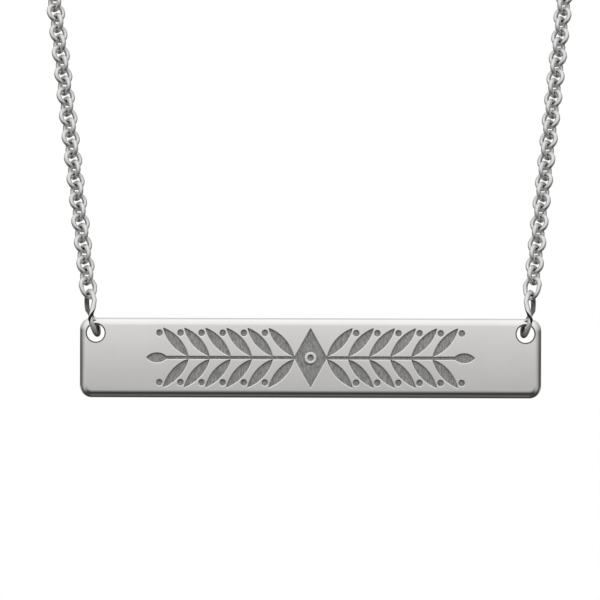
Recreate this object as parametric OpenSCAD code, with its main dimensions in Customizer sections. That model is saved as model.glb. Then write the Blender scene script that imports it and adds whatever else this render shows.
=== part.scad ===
// Nameplate necklace: an engraved bar hung by both upper corners from a chain of small round links.
// Millimetres. The origin is at the nape, at the middle of the clasp. +Z is up and -Y is the wearer's front.

/* [Nameplate] */
// Length of the bar
plate_length = 35; // [31:0.5:42]
// Height of the bar
plate_height = 6.05; // [5.6:0.05:8]
// Thickness of the bar
plate_thickness = 1.5; // [1.3:0.05:1.6]
// Radius of the bar's corners, seen from the front
corner_radius = 0.9; // [0.7:0.05:1.4]
// Radius of the bar's softened edges
edge_radius = 0.55; // [0.3:0.05:0.6]
// Diameter of the two hang holes
hole_diameter = 1.35; // [1.3:0.05:1.5]
// From the bar's end to the middle of a hang hole
hole_inset = 1.2; // [1.1:0.05:2]
// From the bar's top to the middle of a hang hole
hole_drop = 1.15; // [1.1:0.05:1.3]
// Width of the softened rim round a hang hole
rim_width = 0.05; // [0.03:0.01:0.1]

/* [Engraving] */
// Length of the engraved panel
engraving_length = 24.9; // [18:0.1:26]
// Height of the engraved panel
engraving_height = 4.5; // [3.8:0.1:5]
// Depth of the cuts
engraving_depth = 0.2; // [0.1:0.05:0.3]
// Pairs of leaves on each side of the middle
leaf_pairs = 6; // [3:1:7]
// Greatest width of one leaf
leaf_width = 0.72; // [0.5:0.02:0.9]
// Width of the stem line
stem_width = 0.2; // [0.15:0.01:0.3]
// Diameter of the small berries
berry_diameter = 0.46; // [0.3:0.02:0.56]
// Width of the lozenge in the middle
lozenge_width = 2.5; // [1.8:0.1:3.2]

/* [End links] */
// Wire of the two end links
end_wire = 0.42; // [0.35:0.01:0.44]
// Length of an end link over its outside
end_link_length = 3.85; // [3.4:0.05:5]
// Clear space between an end link's inside and each face of the bar
end_link_play = 0.15; // [0.15:0.01:0.25]
// How far each end link pulls outward from the middle of its hole
pull_offset = 0.18; // [0:0.01:0.2]
// How far the end links are turned from edge-on, in degrees
end_link_turn = 8; // [0:1:10]

/* [Chain] */
// Wire of the round links
link_wire = 0.29; // [0.25:0.01:0.3]
// Outside diameter of a round link
link_diameter = 1.53; // [1.5:0.01:1.8]
// How much longer than it is wide each strand's last link is
last_link_stretch = 0.33; // [0:0.01:0.45]
// Clear space between links that hook into each other
link_play = 0.11; // [0.1:0.01:0.14]
// Round links in each front strand, above its last link
front_link_count = 32; // [12:1:40]
// How far each strand leans outward from upright, in degrees
strand_lean = 6.2; // [4:0.1:9]
// How far each strand leans back from upright, in degrees
strand_fall = 18; // [8:1:22]
// How far the round links are turned from face-on, in degrees
link_turn = 32; // [20:1:45]

/* [Clasp] */
// Outside diameter of the clasp's ring
clasp_diameter = 5.5; // [4.8:0.1:7]
// Thickness of the clasp's ring
clasp_tube = 1.1; // [0.9:0.05:1.3]
// Outside diameter of the clasp's eye
eye_diameter = 2.1; // [1.9:0.05:2.4]
// Wire of the clasp's eye
eye_wire = 0.5; // [0.4:0.05:0.6]
// Wire of the catch link
catch_wire = 0.5; // [0.4:0.05:0.6]
// Outside diameter of the catch link
catch_diameter = 3; // [2.9:0.05:3.6]

/* [Worn place] */
// From the nape down to the axis that the bar tips on
hang_drop = 112; // [106:1:120]
// From the nape forward to the bar
hang_reach = 100; // [97:1:106]

/* [Hidden] */
$fn = 48;
left = -1;
right = 1;
cut = 1;

// The bar: the metal left above a hang hole, and the axis through its middle that the bar tips on.
strip_height = hole_drop - hole_diameter / 2;
hang_x = plate_length / 2 - hole_inset + pull_offset;
plate_middle_z = strip_height / 2 - plate_height / 2;

// Places along a strand are measured upward from the tipping axis.
end_link_inside = plate_thickness / 2 + end_link_play;
end_link_straight = end_link_length - 2 * (end_link_inside + end_wire);
end_link_top = end_link_straight + end_link_inside;
last_inside = (end_wire + link_wire + 3 * link_play) / 2;
last_place = end_link_top - link_play + last_inside;
link_inside = link_diameter / 2 - link_wire;
first_place = last_place + last_link_stretch + last_inside - link_play + link_inside;
link_pitch = 2 * link_inside - link_play;
strand_top = first_place + (front_link_count - 1) * link_pitch + link_diameter / 2 + link_play;

// The clasp's ring is centred on the nape, with its eye to the left and the catch link to the right.
clasp_radius = (clasp_diameter - clasp_tube) / 2;
eye_sink = 0.3;
eye_x = clasp_diameter / 2 - eye_sink + eye_diameter / 2;
catch_x = clasp_radius - clasp_tube / 2 - link_play + catch_diameter / 2 - catch_wire;
left_end_x = eye_x + eye_diameter / 2 + link_play;
right_end_x = catch_x + catch_diameter / 2 + link_play;

// The worn route of one side, from the strand's top over the collar bone to the nape.
chain_route = [[23.6, -85, -65.5], [30, -79, -49.5], [39, -70.5, -35.5], [48.5, -58.5, -24], [56, -44.5, -15.5],
               [57.5, -28.5, -9], [51.2, -15, -4.3], [38.8, -6.2, -1.3], [22.5, -1.5, -0.2]];
tube_rings = 40;
tube_sides = 8;

// A point on a strand of the given side, at a distance above the tipping axis.
function strand_direction(side) =
    [side * sin(strand_lean), cos(strand_lean) * sin(strand_fall), cos(strand_lean) * cos(strand_fall)];
function strand_point(side, place) = [side * hang_x, -hang_reach, -hang_drop] + place * strand_direction(side);

// All points of one side's tube, the chosen ones and its two ends.
function route(side) =
    concat([strand_point(side, strand_top)],
           [for (p = chain_route) [side * p[0], p[1], p[2]]],
           [[side == left ? -left_end_x : right_end_x, 0, 0]]);

// The neighbours of the ends, which set the direction in which the tube starts and stops.
function before_start(side) = strand_point(side, strand_top - norm(route(side)[1] - route(side)[0]));
function past_end(side) = [-side * left_end_x, 0, 0];

// One point of a smooth curve that passes through b and c, with a and d on either side of them.
function curve_point(a, b, c, d, t) =
    0.5 * (2 * b + (c - a) * t + (2 * a - 5 * b + 4 * c - d) * t * t + (3 * b - a - 3 * c + d) * t * t * t);

// The middle of each of the tube's rings.
function ring_middles(side) =
    let (points = concat([before_start(side)], route(side), [past_end(side)]), spans = len(points) - 3)
    [for (i = [0 : tube_rings - 1])
        let (at = i * spans / (tube_rings - 1), k = min(floor(at), spans - 1))
        curve_point(points[k], points[k + 1], points[k + 2], points[k + 3], at - k)];

function unit(v) = v / norm(v);
function across(v, along) = unit(v - (v * along) * along);

// The direction of the tube at each ring.
function ring_directions(side, middles) =
    let (last = len(middles) - 1)
    [for (i = [0 : last])
        i == 0 ? strand_direction(side) :
        i == last ? [-side, 0, 0] :
        unit(middles[i + 1] - middles[i - 1])];

// A direction across the tube for each ring, carried along without twist.
function ring_sides(directions) =
    [for (i = 0, v = across([0, 1, 0], directions[0]); i < len(directions);
          i = i + 1, v = i < len(directions) ? across(v, directions[i]) : v) v];

module torus(diameter, wire) {
    rotate_extrude($fn = 64)
        translate([(diameter - wire) / 2, 0])
            circle(d = wire, $fn = 24);
}

// One round link, upright, with its turn about the chain.
module round_link(diameter, turn) {
    rotate([0, 0, turn])
        rotate([90, 0, 0])
            torus(diameter, link_wire);
}

// An upright oval of wire, turned about the chain: two half rounds joined by straight wire. Its lower round is
// centred on the origin.
module oval_link(middle, straight, wire, turn) {
    rotate([0, 0, turn])
        rotate([90, 0, 0]) {
            rotate([0, 0, 180])
                rotate_extrude(angle = 180)
                    translate([middle, 0])
                        circle(d = wire, $fn = 24);
            translate([0, straight, 0])
                rotate_extrude(angle = 180)
                    translate([middle, 0])
                        circle(d = wire, $fn = 24);
            for (x = [-middle, middle])
                translate([x, 0, 0])
                    rotate([-90, 0, 0])
                        cylinder(d = wire, h = straight, $fn = 24);
        }
}

module on_strand(side, place) {
    translate(strand_point(side, place))
        rotate([-strand_fall, 0, 0])
            rotate([0, side * strand_lean, 0])
                children();
}

// A rectangle with rounded corners, centred.
module rounded_rectangle(size, radius) {
    square([size[0] - 2 * radius, size[1]], center = true);
    square([size[0], size[1] - 2 * radius], center = true);
    for (x = [-1, 1], y = [-1, 1])
        translate([x * (size[0] / 2 - radius), y * (size[1] / 2 - radius)])
            circle(r = radius);
}

// The bar's blank, flat on its back, with every edge softened.
module blank() {
    rotate([90, 0, 90])
        linear_extrude(plate_length - 2 * corner_radius, center = true)
            rounded_rectangle([plate_height, plate_thickness], edge_radius);
    rotate([90, 0, 0])
        linear_extrude(plate_height - 2 * corner_radius, center = true)
            rounded_rectangle([plate_length, plate_thickness], edge_radius);
    for (x = [-1, 1], y = [-1, 1])
        translate([x * (plate_length / 2 - corner_radius), y * (plate_height / 2 - corner_radius), 0])
            rotate_extrude()
                intersection() {
                    rounded_rectangle([2 * corner_radius, plate_thickness], edge_radius);
                    translate([0, -plate_thickness])
                        square([corner_radius + cut, 2 * plate_thickness]);
                }
}

// A hang hole with softened rims, upright through the flat bar.
module hang_hole() {
    cylinder(d = hole_diameter, h = plate_thickness + 2 * cut, center = true);
    for (face = [0, 1])
        mirror([0, 0, face])
            translate([0, 0, plate_thickness / 2 - rim_width])
                cylinder(r1 = hole_diameter / 2, r2 = hole_diameter / 2 + rim_width + cut, h = rim_width + cut);
}

// A leaf pointed at both ends, along +X from the origin.
module leaf(length, width) {
    radius = (length * length + width * width) / (4 * width);
    translate([length / 2, 0])
        intersection() {
            translate([0, radius - width / 2])
                circle(r = radius);
            translate([0, width / 2 - radius])
                circle(r = radius);
        }
}

// Half of the engraved spray, from the middle lozenge outward: a stem, leaves in pairs, and berries
// between the tips of the leaves.
module half_spray() {
    reach = engraving_length / 2;
    half_height = engraving_height / 2;
    start = lozenge_width / 2;
    leaf_lean = 48;
    berry_share = 0.38;
    leaf_step = (reach - start) / (leaf_pairs + 1);
    leaf_length = (half_height - stem_width / 2) / sin(leaf_lean);
    berry_height = half_height - 0.8 * berry_diameter;
    berry_place = berry_share * leaf_step + (berry_height - stem_width / 2) / tan(leaf_lean);
    translate([start - stem_width, -stem_width / 2])
        square([reach - leaf_step / 2 - start, stem_width]);
    for (i = [0 : leaf_pairs - 1], up = [0, 1])
        translate([start + i * leaf_step, 0])
            mirror([0, up]) {
                translate([0, stem_width / 2])
                    rotate(leaf_lean)
                        leaf(leaf_length, leaf_width);
                translate([berry_place, berry_height])
                    circle(d = berry_diameter);
            }
    translate([reach - leaf_step, 0])
        leaf(leaf_step, leaf_width);
}

// The engraved panel: a lozenge with a ring and a dot left standing and sunk in it, and a spray on each side.
module engraving() {
    half_spray();
    mirror([1, 0])
        half_spray();
    difference() {
        polygon([[lozenge_width / 2, 0], [0, engraving_height / 2],
                 [-lozenge_width / 2, 0], [0, -engraving_height / 2]]);
        circle(d = 2 * berry_diameter);
    }
    circle(d = berry_diameter);
}

module nameplate() {
    color("silver")
        translate([0, -hang_reach, -hang_drop + plate_middle_z])
            rotate([90, 0, 0])
                difference() {
                    blank();
                    for (x = [-1, 1])
                        translate([x * (plate_length / 2 - hole_inset), plate_height / 2 - hole_drop, 0])
                            hang_hole();
                    translate([0, 0, plate_thickness / 2 - engraving_depth])
                        linear_extrude(engraving_depth + cut)
                            engraving();
                }
}

// An oval link through a hang hole, with its lower round centred on the tipping axis.
module end_link(side) {
    color("silver")
        on_strand(side, 0)
            oval_link(end_link_inside + end_wire / 2, end_link_straight, end_wire, side * (90 - end_link_turn));
}

// The round links that the front shows, turned by a quarter one after another, on one longer last link.
module front_links(side) {
    color("silver") {
        on_strand(side, last_place)
            oval_link(last_inside + link_wire / 2, last_link_stretch, link_wire, -side * link_turn);
        for (i = [0 : front_link_count - 1])
            on_strand(side, first_place + i * link_pitch)
                round_link(link_diameter, side * (i % 2 == 0 ? 90 - link_turn : -link_turn));
    }
}

// The rest of the chain on one side, as a tube of the links' own width.
module chain(side) {
    middles = ring_middles(side);
    directions = ring_directions(side, middles);
    sides = ring_sides(directions);
    points = [for (i = [0 : tube_rings - 1], k = [0 : tube_sides - 1])
        middles[i] + link_diameter / 2 * (cos(k * 360 / tube_sides) * sides[i]
                     + sin(k * 360 / tube_sides) * cross(directions[i], sides[i]))];
    walls = [for (i = [0 : tube_rings - 2], k = [0 : tube_sides - 1])
        let (a = i * tube_sides, b = (k + 1) % tube_sides)
        [a + k, a + tube_sides + k, a + tube_sides + b, a + b]];
    start = [for (k = [0 : tube_sides - 1]) k];
    end = [for (k = [tube_sides - 1 : -1 : 0]) (tube_rings - 1) * tube_sides + k];
    color("gainsboro")
        polyhedron(points, concat(walls, [start, end]), convexity = 10);
}

// A spring ring closed flat against the nape, with its eye.
module clasp() {
    color("silver")
        rotate([90, 0, 0]) {
            torus(clasp_diameter, clasp_tube);
            translate([-eye_x, 0, 0])
                torus(eye_diameter, eye_wire);
        }
}

module catch_link() {
    color("silver")
        translate([catch_x, 0, 0])
            torus(catch_diameter, catch_wire);
}

nameplate();
end_link(left);  // end_link_left
end_link(right);  // end_link_right
front_links(left);  // front_links_left
front_links(right);  // front_links_right
chain(left);  // chain_left
chain(right);  // chain_right
clasp();
catch_link();
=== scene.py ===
import math
import random
from types import SimpleNamespace

import bmesh
import bpy
from bmesh.types import BMEdge, BMVert
from mathutils import Matrix, Vector


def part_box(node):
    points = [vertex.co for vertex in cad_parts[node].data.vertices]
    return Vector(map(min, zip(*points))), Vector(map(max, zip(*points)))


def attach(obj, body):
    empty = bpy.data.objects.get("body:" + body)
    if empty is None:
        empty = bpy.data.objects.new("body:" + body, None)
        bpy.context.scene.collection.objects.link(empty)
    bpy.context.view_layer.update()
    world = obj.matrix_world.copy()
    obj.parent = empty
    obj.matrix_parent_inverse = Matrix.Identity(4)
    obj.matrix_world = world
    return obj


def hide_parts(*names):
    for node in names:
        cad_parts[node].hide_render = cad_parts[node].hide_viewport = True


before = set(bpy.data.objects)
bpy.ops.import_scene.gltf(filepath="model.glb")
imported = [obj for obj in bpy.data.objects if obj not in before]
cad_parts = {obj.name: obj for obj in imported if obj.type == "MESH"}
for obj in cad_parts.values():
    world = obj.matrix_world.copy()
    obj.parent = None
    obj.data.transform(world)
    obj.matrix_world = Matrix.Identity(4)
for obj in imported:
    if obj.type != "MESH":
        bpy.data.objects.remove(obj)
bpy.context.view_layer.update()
mm = 0.001


# The camera stands straight in front of the bar, 0.7 m away, with a long lens. The bar lies a little
# right of the picture's middle and dips by a sixth of a degree to the right.
picture_width = 45.49 * mm
picture_middle_x = -0.815 * mm
picture_middle_z = -110.38 * mm
camera_distance = 0.7
camera_roll = math.radians(0.17)
sensor = 36

camera_data = bpy.data.cameras.new("camera")
camera_data.sensor_width = sensor
camera_data.lens = sensor * camera_distance / picture_width
camera_data.clip_start = 0.05
camera_data.clip_end = 20
camera = bpy.data.objects.new("camera", camera_data)
bar_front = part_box("nameplate")[0].y
camera.matrix_world = (
    Matrix.Translation((picture_middle_x, bar_front - camera_distance, picture_middle_z))
    @ Matrix.Rotation(math.radians(90), 4, "X")
    @ Matrix.Rotation(camera_roll, 4, "Z")
)
bpy.context.scene.collection.objects.link(camera)
bpy.context.scene.camera = camera
bpy.context.scene.view_settings.view_transform = "Standard"


# The nameplate is a sawn and polished silver bar, very slightly domed by the buffing wheel. Its engraved
# panel was cut with a graver, so the floor of the cuts is dull and grainy, with fine upright tool marks.
bar_low, bar_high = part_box("nameplate")
bar_middle = (bar_low + bar_high) / 2
panel_half_length = 12.7 * mm
panel_half_height = 2.4 * mm
cut_front = bar_low.y + 0.03 * mm
cut_back = bar_low.y + 0.3 * mm
cut_roughness = 0.5
graver_depth = 0.03 * mm
dome = 7.5
softened_edge = 0.11 * mm
hole_x = 16.3 * mm
hole_z = -112.9125 * mm
# Painted shade round the hang holes: where the rims are painted dark, and how dark.
rim_inside = 0.735 * mm
rim_outside = 0.795 * mm
rim_shade = 0.1
bar_tones = [(0.80, 0.79, 0.77), (0.84, 0.83, 0.815)]
cut_tones = [(0.24, 0.24, 0.237), (0.6, 0.595, 0.585)]


def add(tree, kind, inputs=(), **settings):
    """Adds a shader node, with its settings and what its inputs hold or are joined to."""
    node = tree.nodes.new(kind)
    for name, value in settings.items():
        setattr(node, name, value)
    for name, value in dict(inputs).items():
        if isinstance(value, bpy.types.NodeSocket):
            tree.links.new(value, node.inputs[name])
        else:
            node.inputs[name].default_value = value
    return node


def sum_up(tree, operation, first, second=0.0, third=0.0):
    """One step of arithmetic between numbers or sockets."""
    return add(tree, "ShaderNodeMath", {0: first, 1: second, 2: third}, operation=operation).outputs[0]


def within(tree, value, low, high):
    """1 where the value lies between low and high, and 0 elsewhere."""
    above = sum_up(tree, "GREATER_THAN", value, low)
    below = sum_up(tree, "LESS_THAN", value, high)
    return sum_up(tree, "MULTIPLY", above, below)


def spread(tree, value, low, high, start=0, end=1, easing="LINEAR"):
    """Goes from start to end while the value goes from low to high, and stays there beyond."""
    return add(tree, "ShaderNodeMapRange", {
        "Value": value, "From Min": low, "From Max": high, "To Min": start, "To Max": end},
        interpolation_type=easing).outputs["Result"]


def two_tones(tree, value, tones, low=0.3, high=0.7):
    """The first tone where the value is low, the second where it is high, and a passage between them."""
    ramp = add(tree, "ShaderNodeValToRGB", {"Fac": value})
    for stop, colour, at in zip(ramp.color_ramp.elements, tones, (low, high)):
        stop.color = (*colour, 1)
        stop.position = at
    return ramp.outputs["Color"]


def blend(tree, share, first, second, kind="RGBA"):
    """Two colours or two numbers blended: all of the first at a share of 0, all of the second at 1."""
    start, end, result = {"RGBA": (6, 7, 2), "FLOAT": (2, 3, 0)}[kind]
    inputs = {"Factor": share, start: first, end: second}
    return add(tree, "ShaderNodeMix", inputs, data_type=kind).outputs[result]


def darkened(tree, colour, share):
    """The colour as it is at a share of 1, and darker below that."""
    shade = add(tree, "ShaderNodeVectorMath", {0: colour, "Scale": share}, operation="SCALE")
    return shade.outputs["Vector"]


def polished_silver(name, tones, rubbing, roughness, scratch_depth, crevice_shade_reach=0.0):
    """Polished silver, clouded and roughened by handling, with hair scratches, and with painted shade
    darkening its crevices.
    """
    material = bpy.data.materials.new(name)
    material.use_nodes = True
    tree = material.node_tree
    shader = tree.nodes["Principled BSDF"]
    shader.inputs["Metallic"].default_value = 1
    place = add(tree, "ShaderNodeTexCoord").outputs["Object"]
    cloud = add(tree, "ShaderNodeTexNoise", {
        "Vector": place, "Scale": rubbing, "Detail": 4, "Roughness": 0.6}).outputs["Fac"]
    tone = two_tones(tree, cloud, tones)
    wear = spread(tree, cloud, 0.3, 0.7, *roughness)
    stretch = add(tree, "ShaderNodeMapping", {
        "Vector": place, "Rotation": (0, 0.3, 0.2), "Scale": (900, 9000, 9000)}).outputs["Vector"]
    hair = add(tree, "ShaderNodeTexNoise", {"Vector": stretch, "Scale": 1, "Detail": 2}).outputs["Fac"]
    scratches = add(tree, "ShaderNodeBump", {"Height": hair, "Strength": 1, "Distance": scratch_depth})
    colour = tone
    # Painted shade: the colour is darkened where other wire closes in, as if shadowed in the crevices.
    if crevice_shade_reach:
        open_air = add(tree, "ShaderNodeAmbientOcclusion", {"Distance": crevice_shade_reach}, samples=16).outputs["AO"]
        colour = darkened(tree, tone, spread(tree, open_air, 0.22, 0.42, 0.02, 1))
    tree.links.new(colour, shader.inputs["Base Color"])
    tree.links.new(wear, shader.inputs["Roughness"])
    tree.links.new(scratches.outputs["Normal"], shader.inputs["Normal"])
    return SimpleNamespace(material=material, tree=tree, shader=shader, place=place, tone=tone, wear=wear,
                           scratches=scratches)


bar_silver = polished_silver(
    "bar_silver", bar_tones, rubbing=260, roughness=(0.05, 0.09), scratch_depth=0.0004 * mm)
tree = bar_silver.tree
x, y, z = add(tree, "ShaderNodeSeparateXYZ", {"Vector": bar_silver.place}).outputs
height = sum_up(tree, "SUBTRACT", z, bar_middle.z)
crown = sum_up(tree, "MULTIPLY", sum_up(tree, "MULTIPLY", height, height), -dome)
softened = add(tree, "ShaderNodeBevel", {"Radius": softened_edge}, samples=8).outputs["Normal"]
domed = add(tree, "ShaderNodeBump", {"Height": crown, "Strength": 1, "Distance": 1, "Normal": softened})
tree.links.new(domed.outputs["Normal"], bar_silver.scratches.inputs["Normal"])
deep = within(tree, y, cut_front, cut_back)
along = within(tree, x, -panel_half_length, panel_half_length)
upward = within(tree, height, -panel_half_height, panel_half_height)
cut = sum_up(tree, "MULTIPLY", deep, sum_up(tree, "MULTIPLY", along, upward))
upright = add(tree, "ShaderNodeMapping", {
    "Vector": bar_silver.place, "Scale": (14000, 14000, 2600)}).outputs["Vector"]
graver = add(tree, "ShaderNodeTexNoise", {
    "Vector": upright, "Scale": 1, "Detail": 3, "Roughness": 0.7}).outputs["Fac"]
dull = two_tones(tree, graver, cut_tones)
bar_wear = blend(tree, cut, bar_silver.wear, cut_roughness, "FLOAT")
tree.links.new(bar_wear, bar_silver.shader.inputs["Roughness"])
grain = add(tree, "ShaderNodeBump", {
    "Height": sum_up(tree, "MULTIPLY", graver, cut), "Strength": 1, "Distance": graver_depth,
    "Normal": bar_silver.scratches.outputs["Normal"]})
tree.links.new(grain.outputs["Normal"], bar_silver.shader.inputs["Normal"])
# The countersunk rims of the two holes are painted darker: painted shade standing in for the dark ring
# round each hole.
from_hole = [
    sum_up(tree, "SUBTRACT", sum_up(tree, "ABSOLUTE", x), hole_x),
    sum_up(tree, "SUBTRACT", z, hole_z),
]
squares = [sum_up(tree, "MULTIPLY", away, away) for away in from_hole]
hole_reach = sum_up(tree, "SQRT", sum_up(tree, "ADD", *squares))
tone_with_shaded_rims = darkened(tree, blend(tree, cut, bar_silver.tone, dull),
                  spread(tree, hole_reach, rim_inside, rim_outside, rim_shade, 1))
tree.links.new(tone_with_shaded_rims, bar_silver.shader.inputs["Base Color"])


def dress(node, material):
    """Gives a CAD node's object this material all over."""
    for spot in bpy.data.objects[node].material_slots:
        spot.material = material


dress("nameplate", bar_silver.material)


# The end links are ovals of silver wire, each through a hang hole and round the last link of its strand.
# The wire's two ends are filed to one slant and soldered on the front run, where a dark seam is left. The
# foot of each link is turned one way and its head the other, so that its two runs cross.
sides = {"left": -1, "right": 1}
strand_fall = math.radians(18)
leans = {-1: math.radians(6.9), 1: math.radians(6.33)}
hang_x = {-1: 16.6 * mm, 1: 16.52 * mm}
hang_y = -100 * mm
hang_z = -112 * mm
end_wire = 0.38 * mm
end_link_half_width = 0.9 * mm + end_wire / 2
end_link_straight = 1.22 * mm
foot_turn = math.radians(-14)
head_turn = math.radians(15)
twist_low = -0.1 * mm
twist_high = 1 * mm
end_link_sway = {-1: math.radians(4), 1: math.radians(3)}
end_link_top = 2.1 * mm
seam_height = -0.05 * mm
seam_width = 0.27 * mm
seam_slant = math.radians(28)
seam_waist = 0.85
inside_shade_slope = 0.35
rub_low = hang_z - 0.45 * mm
rub_high = hang_z - 0.05 * mm
rub_roughness = 0.28
wire_scratches = 0.0006 * mm
wire_tones = [(0.73, 0.725, 0.71), (0.82, 0.815, 0.8)]
seam_tones = [(0.02, 0.02, 0.02), (0.06, 0.058, 0.055)]
# Painted shade: the dark tones of the inside of the end links.
inside_shade_tones = [(0.14, 0.138, 0.134), (0.24, 0.236, 0.23)]

end_link_silver = polished_silver(
    "end_link_silver", wire_tones, rubbing=900, roughness=(0.3, 0.4), scratch_depth=wire_scratches)
seam_tarnish = polished_silver(
    "seam_tarnish", seam_tones, rubbing=6000, roughness=(0.5, 0.6), scratch_depth=wire_scratches)
inside_shade_silver = polished_silver(
    "inside_shade_silver", inside_shade_tones, rubbing=1500, roughness=(0.4, 0.5), scratch_depth=wire_scratches)
# The bar's weight rubs the foot of each link matt.
tree = end_link_silver.tree
height = add(tree, "ShaderNodeSeparateXYZ", {"Vector": end_link_silver.place}).outputs["Z"]
rubbed_foot = spread(tree, height, rub_low, rub_high, rub_roughness, 0, "SMOOTHSTEP")
foot_wear = sum_up(tree, "ADD", end_link_silver.wear, rubbed_foot)
tree.links.new(foot_wear, end_link_silver.shader.inputs["Roughness"])


def strand_frame(side):
    """Leans a strand outward and then back, as it lies on the wearer's chest."""
    return Matrix.Rotation(-strand_fall, 4, "X") @ Matrix.Rotation(side * leans[side], 4, "Y")


def hung(side):
    """Puts a strand's own frame where it hangs, at the axis that the bar tips on."""
    return Matrix.Translation((side * hang_x[side], hang_y, hang_z)) @ strand_frame(side)


def only(kind, parts):
    """The vertices or the edges among the parts that a mesh operator returns."""
    return [part for part in parts if isinstance(part, kind)]


def finished(name, mesh, materials, body, slot, *nodes):
    """Makes the mesh a piece of the necklace, in place of the nodes."""
    bmesh.ops.recalc_face_normals(mesh, faces=mesh.faces)
    for face in mesh.faces:
        face.smooth = True
    data = bpy.data.meshes.new(name)
    mesh.to_mesh(data)
    mesh.free()
    for material in materials:
        data.materials.append(material)
    piece = bpy.data.objects.new(name, data)
    bpy.context.scene.collection.objects.link(piece)
    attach(piece, body)
    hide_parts(*nodes)


def half_bend(mesh, geom, height):
    """Bends the wire on by a half round whose middle is at this height."""
    bend = bmesh.ops.spin(mesh, geom=only(BMVert, geom) + only(BMEdge, geom), cent=(0, 0, height),
                          axis=(0, 1, 0), angle=math.pi, steps=24)
    return bend["geom_last"]


def straight_run(mesh, geom, rise):
    """Runs the wire on, straight up or down."""
    run = bmesh.ops.extrude_edge_only(mesh, edges=only(BMEdge, geom))["geom"]
    bmesh.ops.translate(mesh, vec=(0, 0, rise), verts=only(BMVert, run))
    return run


def wire_oval(half_width, straight, thickness):
    """A closed oval of wire round the Y axis. The middle of its lower half round is the origin."""
    mesh = bmesh.new()
    circle = bmesh.ops.create_circle(
        mesh, segments=20, radius=thickness / 2, matrix=Matrix.Translation((half_width, 0, 0)))["verts"]
    lower = half_bend(mesh, circle + list(mesh.edges), 0)
    upper = half_bend(mesh, straight_run(mesh, lower, straight), straight)
    straight_run(mesh, upper, -straight)
    bmesh.ops.remove_doubles(mesh, verts=mesh.verts, dist=0.001 * mm)
    return mesh


for word, side in sides.items():
    mesh = wire_oval(end_link_half_width, end_link_straight, end_wire)
    # The front run is cut through three times at the slant, and the middle cut is drawn in.
    front_x = -side * end_link_half_width
    front = [vert for vert in mesh.verts if vert.co.x * front_x > 0]
    front += [part for part in [*mesh.edges, *mesh.faces]
              if all(vert.co.x * front_x > 0 for vert in part.verts)]
    seam_middle = Vector((front_x, 0, seam_height))
    across_seam = Vector((0, math.cos(seam_slant), -math.sin(seam_slant)))
    for step in (-0.5, 0.5, 0):
        slit = bmesh.ops.bisect_plane(
            mesh, geom=front, plane_co=seam_middle + across_seam * seam_width * step, plane_no=across_seam)
        front = slit["geom"]
        for edge in only(BMEdge, slit["geom_cut"]):
            edge.smooth = False
    bmesh.ops.scale(mesh, vec=(seam_waist, seam_waist, seam_waist), verts=only(BMVert, slit["geom_cut"]),
                    space=Matrix.Translation(-seam_middle))
    # The solder is dark. The inside of the link is painted darker, as painted shade where its runs face one
    # another.
    mesh.normal_update()
    for face in mesh.faces:
        spot = face.calc_center_median()
        from_seam = abs((spot - seam_middle).dot(across_seam))
        inward = Vector((0, 0, min(max(spot.z, 0), end_link_straight))) - spot
        if spot.x * front_x > 0 and from_seam < seam_width / 2:
            face.material_index = 1
        elif face.normal.dot(inward.normalized()) > inside_shade_slope:
            face.material_index = 2
    for vert in mesh.verts:
        share = min(max((vert.co.z - twist_low) / (twist_high - twist_low), 0), 1)
        turn = foot_turn + share * (head_turn - foot_turn)
        vert.co = Matrix.Rotation(side * (math.pi / 2 - turn), 3, "Z") @ vert.co
    sway = (Matrix.Translation((0, 0, end_link_top)) @ Matrix.Rotation(side * end_link_sway[side], 4, "Y")
            @ Matrix.Translation((0, 0, -end_link_top)))
    bmesh.ops.transform(mesh, verts=mesh.verts, matrix=hung(side) @ sway)
    silvers = [end_link_silver.material, seam_tarnish.material, inside_shade_silver.material]
    finished(f"end_loop_{word}", mesh, silvers, "chain", "link_silver", f"end_link_{word}")


# The front strands are round links of drawn wire, each hooked into the next with a quarter turn between
# them. The last link of each strand is a longer one, drawn narrower at its foot by the end link's pull.
wire = 0.36 * mm
link_diameter = 1.58 * mm
link_inside = link_diameter / 2 - wire
link_turn = math.radians(32)
# How far the painted crevice shade reaches.
crevice_shade_reach = 0.25 * mm
last_link_half_width = 0.61 * mm
last_link_taper = 0.2
last_place = 2.52 * mm
first_place = {-1: 3.64 * mm, 1: 3.76 * mm}
strand_pitch = {-1: 0.855 * mm, 1: 0.842 * mm}
front_links = 32
slack = random.Random(5)

link_silver = polished_silver(
    "link_silver", wire_tones, rubbing=900, roughness=(0.3, 0.4), scratch_depth=wire_scratches,
    crevice_shade_reach=crevice_shade_reach)


def slack_turn():
    """The few degrees by which each link sits out of its place."""
    return math.radians(slack.uniform(-2, 2))


def strand_turn(side, i):
    """How far link i of a front strand is turned. It is a quarter turn from the next one."""
    return side * (math.pi / 2 - link_turn) if i % 2 == 0 else -side * link_turn


def on_strand(side, distance, turn):
    """The place of a link on a front strand, measured upward from the axis that the bar tips on."""
    return (hung(side) @ Matrix.Translation((0, 0, distance))
            @ Matrix.Rotation(turn + slack_turn(), 4, "Z"))


def wire_ring(mesh, diameter, thickness, steps, facets):
    """Spins a circle of wire into a ring round the Y axis, and returns its vertices, edges and faces."""
    old = set(mesh.verts)
    radius = (diameter - thickness) / 2
    verts = bmesh.ops.create_circle(
        mesh, segments=facets, radius=thickness / 2, matrix=Matrix.Translation((radius, 0, 0)))["verts"]
    edges = [edge for edge in mesh.edges if edge.verts[0] in verts]
    bmesh.ops.spin(mesh, geom=verts + edges, cent=(0, 0, 0), axis=(0, 1, 0), angle=2 * math.pi, steps=steps,
                   use_merge=True)
    verts = [vert for vert in mesh.verts if vert not in old]
    return verts + [part for part in [*mesh.edges, *mesh.faces] if part.verts[0] not in old]


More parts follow.
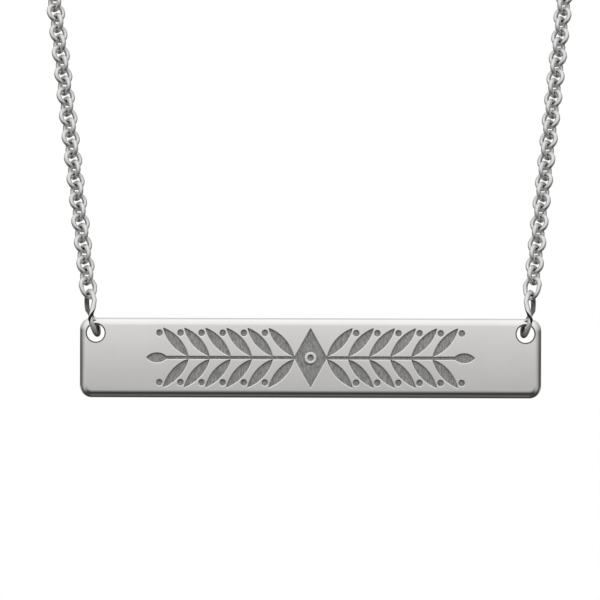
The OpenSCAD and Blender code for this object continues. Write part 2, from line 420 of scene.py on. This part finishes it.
def copies(mesh, ring, places):
    """Puts a copy of the ring at each place, and takes the first one out."""
    for place in places:
        copy = bmesh.ops.duplicate(mesh, geom=ring)["geom"]
        bmesh.ops.transform(mesh, matrix=place, verts=only(BMVert, copy))
    bmesh.ops.delete(mesh, geom=only(BMVert, ring), context="VERTS")


for word, side in sides.items():
    last_link_inside = last_link_half_width - wire / 2
    stretch = first_place[side] - last_place - link_inside - last_link_inside
    mesh = wire_oval(last_link_half_width, stretch, wire)
    for vert in mesh.verts:
        fall = (stretch - vert.co.z) / (stretch + last_link_half_width)
        vert.co.x *= 1 - last_link_taper * min(max(fall, 0), 1)
    last_turn = strand_turn(side, -1)
    bmesh.ops.transform(mesh, matrix=on_strand(side, last_place, last_turn), verts=mesh.verts)
    ordinary = wire_ring(mesh, link_diameter, wire, steps=40, facets=14)
    copies(mesh, ordinary, [
        on_strand(side, first_place[side] + i * strand_pitch[side], strand_turn(side, i))
        for i in range(front_links)])
    finished(f"front_strand_{word}", mesh, [link_silver.material], "chain", "link_silver",
             f"front_links_{word}")


# The neck chain goes on from each strand over the collar bone to the nape, in the same links. At each end
# a larger jump ring joins it to the clasp's eye or to the catch link.
neck_route = [
    (23.6, -85, -65.5), (30, -79, -49.5), (39, -70.5, -35.5), (48.5, -58.5, -24), (56, -44.5, -15.5),
    (57.5, -28.5, -9), (51.2, -15, -4.3), (38.8, -6.2, -1.3), (22.5, -1.5, -0.2)]
route_steps = 120
strand_top = 30.65 * mm
neck_pitch = 0.84 * mm
tube_ends = {"left": -4.66 * mm, "right": 4.15 * mm}
beyond = 4.66 * mm
play = 0.02 * mm
eye_inner_edge = -4.05 * mm
catch_inner_edge = 3.54 * mm
jump_ring_diameter = 1.9 * mm
jump_ring_inside = jump_ring_diameter / 2 - wire
jump_ring_middle = {
    "left": eye_inner_edge + play - jump_ring_inside,
    "right": catch_inner_edge - play + jump_ring_inside,
}
jump_ring_axis = {"left": Vector((0, 0, 1)), "right": Vector((0, 1, 0))}


def smooth_point(a, b, c, d, t):
    """A point between b and c on the smooth curve through a, b, c and d."""
    bend = (2 * a - 5 * b + 4 * c - d) * t ** 2
    return 0.5 * (2 * b + (c - a) * t + bend + (3 * b - a - 3 * c + d) * t ** 3)


def neck_line(word, side):
    """The chain's middle line from the front strand's top link to the last link before the jump ring."""
    lean = strand_frame(side).col[2].to_3d()
    foot = Vector((side * hang_x[side], hang_y, hang_z))
    route = [foot + lean * strand_top]
    route += [Vector((side * out, forward, up)) * mm for out, forward, up in neck_route]
    route.append(Vector((tube_ends[word], 0, 0)))
    before = foot + lean * (strand_top - (route[1] - route[0]).length)
    points = [before] + route + [Vector((-side * beyond, 0, 0))]
    line = [foot + lean * (first_place[side] + (front_links - 1) * strand_pitch[side])]
    for k in range(len(points) - 3):
        line += [smooth_point(*points[k:k + 4], step / route_steps) for step in range(route_steps)]
    end = jump_ring_middle[word] + side * (jump_ring_inside + link_inside - play)
    return [p for p in line if abs(p.x) > abs(end) or p.z < -1 * mm] + [Vector((end, 0, 0))]


def measured(line):
    """How far along the line each of its points lies."""
    lengths = [0.0]
    for a, b in zip(line, line[1:]):
        lengths.append(lengths[-1] + (b - a).length)
    return lengths


def strung(line, spaces):
    """Evenly spaced places along the line."""
    lengths = measured(line)
    places, k = [], 0
    for i in range(spaces + 1):
        reach = lengths[-1] * i / spaces
        while k < len(line) - 2 and lengths[k + 1] < reach:
            k += 1
        places.append(line[k].lerp(line[k + 1], (reach - lengths[k]) / (lengths[k + 1] - lengths[k])))
    return places


for word, side in sides.items():
    line = neck_line(word, side)
    spaces = round(measured(line)[-1] / neck_pitch)
    places = strung(line, spaces)
    runs = [(places[min(i + 1, spaces)] - places[max(i - 1, 0)]).normalized() for i in range(spaces + 1)]
    # The axis of each link is carried along the line without twist. What it is out by at the jump ring is
    # shared among all the links.
    top_turn = Matrix.Rotation(strand_turn(side, front_links - 1), 3, "Z")
    across = strand_frame(side).to_3x3() @ top_turn @ Vector((0, 1, 0))
    carried = []
    for run in runs:
        across = (across - run * across.dot(run)).normalized()
        carried.append(across)
    quarter_turns = spaces + 1
    want = jump_ring_axis[word]
    have = Matrix.Rotation(quarter_turns * math.pi / 2, 3, runs[-1]) @ carried[-1]
    off = math.atan2(have.cross(want).dot(runs[-1]), have.dot(want))
    off = (off + math.pi / 2) % math.pi - math.pi / 2
    matrices = []
    for i in range(1, spaces + 1):
        turn = i * math.pi / 2 + off * i / quarter_turns + slack_turn()
        axis = Matrix.Rotation(turn, 3, runs[i]) @ carried[i]
        basis = Matrix((axis.cross(runs[i]), axis, runs[i])).transposed()
        matrices.append(Matrix.Translation(places[i]) @ basis.to_4x4())
    mesh = bmesh.new()
    copies(mesh, wire_ring(mesh, link_diameter, wire, steps=12, facets=5), matrices)
    lie = Matrix.Rotation(math.pi / 2, 4, "X") if word == "left" else Matrix.Identity(4)
    jump_ring = wire_ring(mesh, jump_ring_diameter, wire, steps=32, facets=10)
    copies(mesh, jump_ring, [Matrix.Translation((jump_ring_middle[word], 0, 0)) @ lie])
    finished(f"neck_chain_{word}", mesh, [link_silver.material], "chain", "link_silver", f"chain_{word}")


# The clasp is a spring ring at the nape: a bent tube with a sprung bolt, a small lever and a soldered eye.
# The catch link on the other end of the chain closes on it.
clasp_tones = [(0.78, 0.77, 0.755), (0.85, 0.84, 0.825)]
clasp_silver = polished_silver(
    "clasp_silver", clasp_tones, rubbing=700, roughness=(0.1, 0.18), scratch_depth=wire_scratches)
dress("clasp", clasp_silver.material)
dress("catch_link", clasp_silver.material)


# The floor is a wide sheet of pale card, well below the necklace, with its fibres just visible. It isn't
# mirrored in the silver.
floor_size = 3
floor_height = -0.3

floor_mesh = bmesh.new()
bmesh.ops.create_grid(floor_mesh, x_segments=8, y_segments=8, size=floor_size,
                      matrix=Matrix.Translation((0, 0, floor_height)))
floor_data = bpy.data.meshes.new("floor")
floor_mesh.to_mesh(floor_data)
floor_mesh.free()
floor = bpy.data.objects.new("floor", floor_data)
bpy.context.scene.collection.objects.link(floor)
floor.visible_glossy = False
card = bpy.data.materials.new("card")
card.use_nodes = True
tree = card.node_tree
shader = tree.nodes["Principled BSDF"]
shader.inputs["Roughness"].default_value = 0.9
place = add(tree, "ShaderNodeTexCoord").outputs["Object"]
fibre = add(tree, "ShaderNodeTexNoise", {"Vector": place, "Scale": 400, "Detail": 3}).outputs["Fac"]
pale = two_tones(tree, fibre, [(0.86, 0.86, 0.855), (0.9, 0.9, 0.895)], 0, 1)
tree.links.new(pale, shader.inputs["Base Color"])
floor_data.materials.append(card)


# A large soft lamp hangs above and in front. The studio round it is bright above and dark below, with paler
# panels in front at both sides, a low pale screen behind and a tall one straight behind. The camera sees
# plain white.
lamp_data = bpy.data.lights.new("lamp", "AREA")
lamp_data.shape = "DISK"
lamp_data.size = 0.8
lamp_data.energy = 4
lamp = bpy.data.objects.new("lamp", lamp_data)
lamp.matrix_world = Matrix.Translation((0, -0.35, 0.6)) @ Matrix.Rotation(math.radians(-25), 4, "X")
bpy.context.scene.collection.objects.link(lamp)
lamp.visible_glossy = False

brightest = 1.2
brighter_left = 0.1
white = (1, 1, 1, 1)
world = bpy.data.worlds.new("studio")
bpy.context.scene.world = world
world.use_nodes = True
tree = world.node_tree
sky = tree.nodes["Background"]
direction = add(tree, "ShaderNodeTexCoord").outputs["Generated"]
x, y, z = add(tree, "ShaderNodeSeparateXYZ", {"Vector": direction}).outputs
up = spread(tree, z, -1, 1)


def shade_by_height(stops):
    """A ramp of brightness from straight down, -1, to straight up, 1."""
    ramp = add(tree, "ShaderNodeValToRGB", {"Fac": up})
    elements = ramp.color_ramp.elements
    while len(elements) > 1:
        elements.remove(elements[-1])
    for i, (at, shade) in enumerate(stops):
        stop = elements[0] if i == 0 else elements.new((at + 1) / 2)
        stop.position = (at + 1) / 2
        stop.color = (shade / brightest, shade / brightest, shade / brightest, 1)
    return ramp.outputs["Color"]


ceiling = [(0.3, 0.5), (0.68, 0.74), (0.9, 0.9), (0.98, 1.08), (1, 1.17)]
in_front = shade_by_height([
    (-1, 0.19), (-0.99, 0.19), (-0.88, 0.075), (-0.69, 0.03), (-0.47, 0.137), (-0.21, 0.41), (-0.07, 0.57),
    (0, 0.67), (0.07, 0.79), (0.21, 0.87), (0.47, 0.98), (0.69, 1.09), (0.9, 1.17), (1, 1.17)])
beside = shade_by_height([
    (-1, 0.19), (-0.8, 0.14), (-0.5, 0.42), (-0.25, 0.58), (0, 0.58), (0.3, 0.86), (0.7, 1.09), (1, 1.17)])
behind = shade_by_height([(-1, 0.19), (-0.97, 0.05), (-0.3, 0.03), (0, 0.1)] + ceiling)
low_screen = shade_by_height([
    (-1, 0.19), (-0.97, 0.05), (-0.6, 0.06), (-0.42, 0.5), (-0.25, 0.66), (-0.12, 0.5), (-0.03, 0.14),
    (0, 0.1)] + ceiling)
screen = shade_by_height([(-1, 0.1), (-0.6, 0.3), (-0.17, 0.62), (0, 0.72), (0.3, 0.9), (1, 1)])
aside = spread(tree, sum_up(tree, "ABSOLUTE", x), 0.35, 0.7, easing="SMOOTHSTEP")
fore = blend(tree, aside, in_front, beside)
rear = behind
for shade, start, full in ((low_screen, 0.25, 0.6), (screen, 0.93, 0.985)):
    rear = blend(tree, spread(tree, y, start, full, easing="SMOOTHSTEP"), rear, shade)
backward = spread(tree, y, -0.97, 0.3, easing="SMOOTHSTEP")
studio = blend(tree, backward, fore, rear)
strength = sum_up(tree, "MULTIPLY_ADD", x, -brighter_left * brightest, brightest)
camera_ray = add(tree, "ShaderNodeLightPath").outputs["Is Camera Ray"]
tree.links.new(blend(tree, camera_ray, studio, white), sky.inputs["Color"])
tree.links.new(blend(tree, camera_ray, strength, 1, "FLOAT"), sky.inputs["Strength"])
